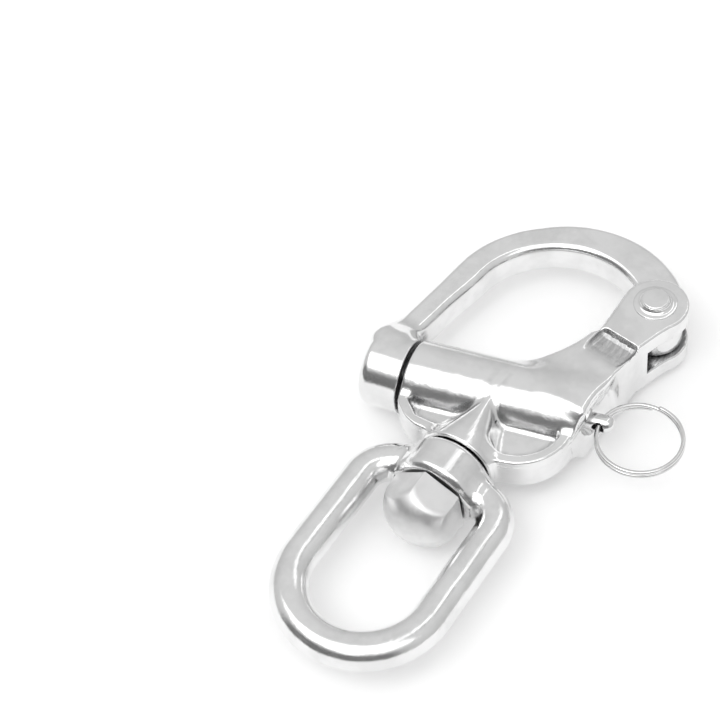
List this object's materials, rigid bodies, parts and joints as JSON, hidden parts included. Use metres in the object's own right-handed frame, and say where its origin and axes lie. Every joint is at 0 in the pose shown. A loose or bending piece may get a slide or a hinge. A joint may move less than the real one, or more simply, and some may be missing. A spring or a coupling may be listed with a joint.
{
  "type": "swivel snap shackle",
  "caption": "Polished stainless snap shackle: a hinged bail closes on a spring plunger with a pull ring, and an oval eye turns on a domed bolt at the foot.",
  "frame": {"origin": "where a line bears in the swivel eye: the middle of the inside of its far end, on the swivel axis", "axes": "+Y along the swivel axis from the eye to the bail, +X towards the pull ring, +Z out of the flat of the shackle, which lies on its side"},
  "size_m": [0.05, 0.0881, 0.0132],
  "materials": {
    "polished_steel": "mirror polished cast stainless steel",
    "ring_wire": "bright drawn stainless wire",
    "spring_wire": "drawn spring wire"
  },
  "bodies": {
    "body": {"body": "polished_steel", "hinge_rivet": "polished_steel", "swivel_bolt": "polished_steel", "plunger_spring": "spring_wire"},
    "bail": {"bail": "polished_steel"},
    "plunger": {"plunger": "polished_steel"},
    "ring": {"split_ring": "ring_wire"},
    "eye": {"swivel_eye": "polished_steel"}
  },
  "joints": [
    {"name": "bail_swing", "type": "hinge", "parent": "body", "child": "bail", "pos_m": [0.0129, 0.0699, 0], "axis": [0, 0, -1], "range_deg": [0, 90]},
    {"name": "plunger_slide", "type": "slide", "parent": "body", "child": "plunger", "axis": [0.9781, 0.2079, 0], "range_m": [-0.0011, 0.0016], "stiffness_N_per_m": 200, "springref_m": -0.004, "deforming": ["plunger_spring"]},
    {"name": "ring_swing", "type": "hinge", "parent": "plunger", "child": "ring", "pos_m": [0.01487, 0.04946, 0], "axis": [0, 1, 0], "range_deg": [-75, 75]},
    {"name": "swivel_spin", "type": "hinge", "parent": "body", "child": "eye", "pos_m": [0, 0.029, 0], "axis": [0, 1, 0], "continuous": true}
  ]
}
